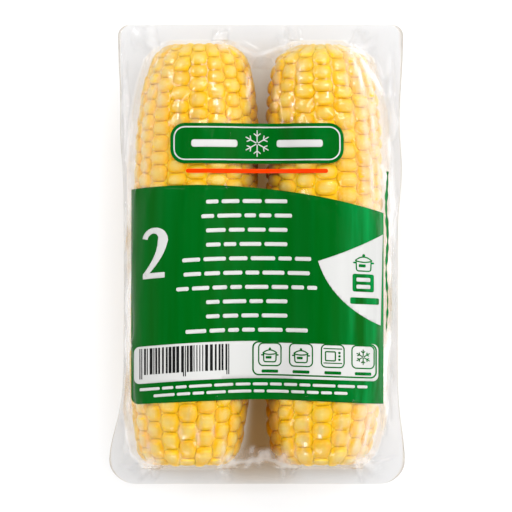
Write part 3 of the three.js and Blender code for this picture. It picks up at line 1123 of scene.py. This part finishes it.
# The green ink's lighter streak colour is painted sheen.
green_ink = ink_material("green_ink", (0.0, 0.2, 0.04), (0.0, 0.074, 0.003))
white_ink = ink_material("white_ink", (0.43, 0.43, 0.42), (0.475, 0.475, 0.465))
black_ink = ink_material("black_ink", (0.02, 0.02, 0.02), (0.008, 0.008, 0.008))
red_ink = ink_material("red_ink", (0.85, 0.06, 0.005), (0.8, 0.035, 0.0))

corner_x = FIELD_LEFT + FIELD_CORNER
corner_y = float(print_bottom(corner_x)) + FIELD_CORNER
upper_edge = [(x, float(print_top(x))) for x in np.linspace(FIELD_RIGHT, FIELD_LEFT, EDGE_STEPS)]
lower_edge = [(x, float(print_bottom(x))) for x in np.linspace(corner_x, FIELD_RIGHT, EDGE_STEPS)]
lower_left = arc(corner_x, corner_y, FIELD_CORNER, 180, 264)
lay_on_film("green_field", [upper_edge + lower_left + lower_edge], 1, green_ink)

# %% Rows of bars and the number on the field
LINE_MIDDLE = -3.9
FIRST_LINE_Y = 19.6
LINE_PITCH = 5.45
LINE_HEIGHT = 1.5
LINE_LENGTHS = [31, 34.5, 31, 31, 49, 48, 53.5, 31, 31, 46.5]
BAND_LINES = [(-44.8, 42.1, -50.0), (-39.4, 34.4, -52.7)]
BAND_HEIGHT = 1.1

words = np.random.default_rng(11)
white_shapes = []
for row, length in enumerate(LINE_LENGTHS):
    left, right = LINE_MIDDLE - length / 2, LINE_MIDDLE + length / 2
    white_shapes += row_of_bars(left, right, FIRST_LINE_Y - row * LINE_PITCH, LINE_HEIGHT, words)
for left, right, y in BAND_LINES:
    white_shapes += row_of_bars(left, right, y, BAND_HEIGHT, words)

NUMBER_MIDDLE = -39.2
NUMBER_TOP, NUMBER_BASE = 11.6, -7.4
NUMBER_BOW = 3.5
NUMBER_WIDTHS = [2.0, 2.2, 3.9, 2.7, 1.6]
NUMBER_FOOT = (-4.3, 4.1)
FOOT_HEIGHT = 2.1
bow = arc(NUMBER_MIDDLE, NUMBER_TOP - NUMBER_BOW - 0.8, NUMBER_BOW, 172, -20, 14)
tail = swept(bow[-1], (NUMBER_MIDDLE + 2.4, 0.4), (NUMBER_MIDDLE - 3.6, NUMBER_BASE + 1.4), 12)
number_path = bow + tail[1:]
along_number = np.linspace(0, 1, len(number_path))
number_widths = np.interp(along_number, np.linspace(0, 1, len(NUMBER_WIDTHS)), NUMBER_WIDTHS)
white_shapes += line_along(number_path, number_widths)
left, right = (NUMBER_MIDDLE + reach for reach in NUMBER_FOOT)
white_shapes.append(rounded(left, NUMBER_BASE, right, NUMBER_BASE + FOOT_HEIGHT, 0.3))
lay_on_film("white_words", white_shapes, 2, white_ink, field_sag)

# %% [markdown]
# ## Panels on the field
# Low on the field lies a white strip. Its left half has a pattern of bars, and its right half, in a
# green outline, four small signs for cooking and freezing. At the right edge a white sector carries a
# pot over a green block.

# %% Signs for cooking and freezing
# The measures inside a sign are shares of its size, from its middle.
OUTLINE = 0.5
FINE_OUTLINE = 0.8 * OUTLINE
KNOB = 0.06
BRANCH_LEAN = 0.9


def share_box(x, y, size, sides, corner):
    """A rounded rectangle between the left, bottom, right and top shares of a sign."""
    left, bottom, right, top = sides
    return rounded(x + left * size, y + bottom * size, x + right * size, y + top * size, corner * size)


def knob(x, y, size):
    """A small round dot."""
    return arc(x, y, KNOB * size, 0, 330, 11)


def square_sign(x, y, size):
    """The rounded outline round a sign."""
    return line_along(share_box(x, y, size, (-0.5, -0.5, 0.5, 0.5), 0.2), OUTLINE, closed=True)


def pot_sign(x, y, size):
    """A cooking pot with a lid, two handles and a label."""

    def at(across, up):
        return x + across * size, y + up * size

    body = [at(-0.3, 0.02)]
    body += arc(*at(-0.2, -0.26), 0.09 * size, 190, 270, 3)
    body += arc(*at(0.2, -0.26), 0.09 * size, 270, 350, 3)
    body += [at(0.3, 0.02)]
    lid = swept(at(-0.34, 0.06), at(0, 0.36), at(0.34, 0.06), 10)
    rim = swept(lid[0], at(0, -0.06), lid[-1], 10)
    shapes = line_along(body, OUTLINE) + line_along(lid, OUTLINE) + line_along(rim, OUTLINE)
    shapes.append(knob(*at(0, 0.27), size))
    for left, right in ((-0.42, -0.3), (0.3, 0.42)):
        shapes.append(share_box(x, y, size, (left, -0.06, right, 0.01), 0.03))
    shapes.append(share_box(x, y, size, (-0.2, -0.2, 0.08, -0.08), 0.03))
    return shapes


def oven_sign(x, y, size):
    """A small oven: a window, three knobs, and a line above and below."""
    shapes = [share_box(x, y, size, (-0.44, up, 0.44, up + 0.05), 0.02) for up in (0.32, -0.36)]
    window = share_box(x, y, size, (-0.34, -0.22, 0.12, 0.2), 0.04)
    shapes += line_along(window, OUTLINE, closed=True)
    shapes += [knob(x + 0.31 * size, y + up * size, size) for up in (0.16, 0.0, -0.16)]
    return shapes


def snow_sign(x, y, size):
    """A snowflake with six branched arms."""
    shapes = []
    middle = np.array([x, y])
    for arm in range(6):
        turn = math.radians(60 * arm + 90)
        along = np.array([math.cos(turn), math.sin(turn)])
        stem = [middle + share * size * along for share in (0.03, 0.36)]
        shapes += line_along(stem, FINE_OUTLINE)
        root = middle + 0.2 * size * along
        for lean in (-BRANCH_LEAN, BRANCH_LEAN):
            branch = np.array([math.cos(turn + lean), math.sin(turn + lean)])
            shapes += line_along([root, root + 0.12 * size * branch], FINE_OUTLINE)
    return shapes


# %% The white strip and what is on it
STRIP_LEFT, STRIP_RIGHT = -47.0, 46.4
STRIP_TOP, STRIP_BOTTOM = -33.0, -47.2
STRIP_CORNER = 2.2
PANEL_LEFT = -1.6
PANEL_INSET = 1.3
SIGN_SIZE = 8.6
SIGN_PLACES = (4.9, 16.8, 28.8, 40.4)
SIGN_Y = -38.1
CAPTION_Y = -45.1

strip = rounded(STRIP_LEFT, STRIP_BOTTOM, STRIP_RIGHT, STRIP_TOP, STRIP_CORNER)
lay_on_film("white_strip", [strip], 2, white_ink, field_sag)
panel = rounded(PANEL_LEFT, STRIP_BOTTOM + PANEL_INSET, STRIP_RIGHT - 0.9, STRIP_TOP - 0.3, STRIP_CORNER)
green_shapes = line_along(panel, 0.6, closed=True)
for x, sign in zip(SIGN_PLACES, (pot_sign, pot_sign, oven_sign, snow_sign)):
    green_shapes += square_sign(x, SIGN_Y, SIGN_SIZE)
    green_shapes += sign(x, SIGN_Y, 0.94 * SIGN_SIZE)
    green_shapes.append(rounded(x - 3.2, CAPTION_Y, x + 3.2, CAPTION_Y + 1.2, 0.4))

# %% The pattern of bars
BAR_MODULE = 0.363
BARS_LEFT, BARS_RIGHT = -44.8, -10.8
BARS_TOP, BARS_BOTTOM = -33.9, -43.9
GUARD_DROP = 1.6

bars = []
modules = round((BARS_RIGHT - BARS_LEFT) / BAR_MODULE)
guards = (0, 2, modules // 2 - 1, modules // 2 + 1, modules - 3, modules - 1)
at = 0
while at < modules:
    is_guard = at in guards
    width = 1 if is_guard else int(words.integers(1, 4))
    bottom = BARS_BOTTOM - (GUARD_DROP if is_guard else 0)
    left = BARS_LEFT + at * BAR_MODULE
    right = left + width * BAR_MODULE
    bars.append([(left, bottom), (right, bottom), (right, BARS_TOP), (left, BARS_TOP)])
    step = width + int(words.integers(1, 3))
    later = [guard for guard in guards if guard > at]
    at = min([at + step] + later)
lay_on_film("bar_pattern", bars, 3, black_ink, field_sag)

# %% The white sector
SECTOR_TIP = (23.2, -2.1)
SECTOR_RIGHT = 48.3
sector_upper = swept(SECTOR_TIP, (36.5, 2.4), (SECTOR_RIGHT, 9.2))
sector_lower = swept((SECTOR_RIGHT - 1.0, -25.8), (28.4, -18.4), SECTOR_TIP)
lay_on_film("white_sector", [sector_upper + sector_lower[:-1]], 2, white_ink, field_sag)

POT_PLACE = (40.6, -1.9)
POT_SIZE = 9.6
BLOCK = (36.3, -13.2, 44.6, -6.4)
LOWER_BAR = (35.4, -17.9, 46.6, -15.4)
green_shapes += pot_sign(*POT_PLACE, POT_SIZE)
green_shapes.append(rounded(*BLOCK, 0.8))
green_shapes.append(rounded(*LOWER_BAR, 0.6))
lay_on_film("green_signs", green_shapes, 3, green_ink, field_sag)
block_bars = [rounded(37.8, y, 43.1, y + 1.5, 0.4) for y in (-9.3, -12.0)]
lay_on_film("white_block_bars", block_bars, 4, white_ink, field_sag)

# %% [markdown]
# ## The plaque and the stripe
# Above the field a green plaque lies across both cobs, plain but for a thin white line and a
# snowflake between two bars, with a red stripe under it. A sliver of green runs down the right
# fold, where the print goes over the edge of the bag.

# %% Plaque, stripe and sliver
PLAQUE_CORNER = 5.5
PLAQUE_LINE_INSET = 1.5
PLAQUE_MIDDLE = ((PLAQUE[0] + PLAQUE[2]) / 2, (PLAQUE[1] + PLAQUE[3]) / 2)
PLAQUE_BAR_FROM, PLAQUE_BAR_TO = 7.5, 25
PLAQUE_BAR_HALF = 1.4
PLAQUE_SNOW = 14
STRIPE_HEIGHT = 1.6
STRIPE_INSET = 6
SLIVER_X = 50.0
SLIVER_TOP, SLIVER_BOTTOM = 32, -30
SLIVER_STEPS = 80
SLIVER_WIDTH, SLIVER_NICKS = 1.0, 0.5
SLIVER_WIDEST_Y, SLIVER_NARROWING = 16, 0.012

lay_on_film("green_plaque", [rounded(*PLAQUE, PLAQUE_CORNER)], 1, green_ink)
plaque_line = rounded(*inset(PLAQUE, PLAQUE_LINE_INSET), PLAQUE_CORNER - PLAQUE_LINE_INSET)
plaque_shapes = line_along(plaque_line, OUTLINE, closed=True)
x, y = PLAQUE_MIDDLE
for left, right in ((-PLAQUE_BAR_TO, -PLAQUE_BAR_FROM), (PLAQUE_BAR_FROM, PLAQUE_BAR_TO)):
    plaque_shapes.append(rounded(x + left, y - PLAQUE_BAR_HALF, x + right, y + PLAQUE_BAR_HALF, 1.0))
plaque_shapes += snow_sign(x, y, PLAQUE_SNOW)
lay_on_film("plaque_marks", plaque_shapes, 2, white_ink)
left, _, right, _ = inset(PLAQUE, STRIPE_INSET)
stripe = rounded(left, STRIPE_Y, right, STRIPE_Y + STRIPE_HEIGHT, 0.75)
lay_on_film("red_stripe", [stripe], 1, red_ink)


def sliver_width(y):
    """The sliver's uneven width, which lessens towards its ends."""
    nicks = SLIVER_NICKS * math.sin(0.9 * y) * math.sin(0.35 * y)
    return SLIVER_WIDTH + nicks - SLIVER_NARROWING * abs(y - SLIVER_WIDEST_Y)


sliver_ys = np.linspace(SLIVER_TOP, SLIVER_BOTTOM, SLIVER_STEPS)
sliver_path = [(SLIVER_X + 0.3 * math.sin(y / 4), y) for y in sliver_ys]
sliver = line_along(sliver_path, [sliver_width(y) for y in sliver_ys])
lay_on_film("green_sliver", sliver, 1, green_ink)

# %% [markdown]
# ## Stage and light
# The photo is a studio picture with next to no background, so the floor is a plain pale sheet that
# glows a little. A key light hangs beyond the bag's upper end, and long strips and panels light its
# sides. Those that would shine too hard in the film are hidden from its mirror.

# %% Floor
FLOOR_SIZE = 8.0


def make_floor():
    """The sheet that the bag lies on."""
    bm = bmesh.new()
    bmesh.ops.create_grid(bm, x_segments=1, y_segments=1, size=FLOOR_SIZE / 2)
    mesh = mesh_of(bm, "floor")
    material, tree, shader = start_material("pale_floor")
    looks = {
        "Base Color": (0.45, 0.455, 0.465, 1),
        "Roughness": 0.7,
        "Emission Color": (1, 1, 1, 1),
        "Emission Strength": 0.4,
    }
    set_inputs(tree, shader, looks)
    mesh.materials.append(material)
    link_object("floor", mesh)


make_floor()


# %% Lights
LIGHTS_AIM = (0, 0, 0.02)


def add_light(name, place, size, power, mirrored=True):
    """A rectangular light that shines at the bag, and shows in reflections if mirrored."""
    data = bpy.data.lights.new(name, "AREA")
    data.shape = "RECTANGLE"
    data.size, data.size_y = size
    data.energy = power
    light = link_object(name, data)
    light.location = place
    direction = Vector(LIGHTS_AIM) - Vector(place)
    light.rotation_euler = direction.to_track_quat("-Z", "Y").to_euler()
    light.visible_camera = False
    light.visible_glossy = mirrored


add_light("key", (0.5, 0.75, 1.15), (0.55, 0.55), 7)
add_light("top_strip", (0.0, 0.17, 1.25), (1.2, 0.12), 9, mirrored=False)
add_light("upper_left", (-0.8, 0.6, 0.8), (0.4, 0.4), 3.5)
add_light("lower_fill", (-0.3, -1.2, 0.8), (0.8, 0.6), 6)
add_light("right_panel", (1.5, 0.1, 0.4), (0.8, 1.8), 18, mirrored=False)
add_light("right_strip", (0.82, 0.0, 0.88), (0.1, 1.5), 0.8)

# %% A sky that is bright at the horizon and dark overhead
SKY_TONES = [(0.4, (1.15, 1.15, 1.15)), (0.85, (0.12, 0.12, 0.12))]

world = bpy.data.worlds.new("studio")
bpy.context.scene.world = world
world.use_nodes = True
sky = world.node_tree
direction = add_node(sky, "TexCoord", {}).outputs["Generated"]
height = add_node(sky, "SeparateXYZ", {"Vector": direction}).outputs["Z"]
set_inputs(sky, sky.nodes["Background"], {"Color": colour_ramp(sky, height, SKY_TONES)})
bpy.context.scene.view_settings.view_transform = "Standard"
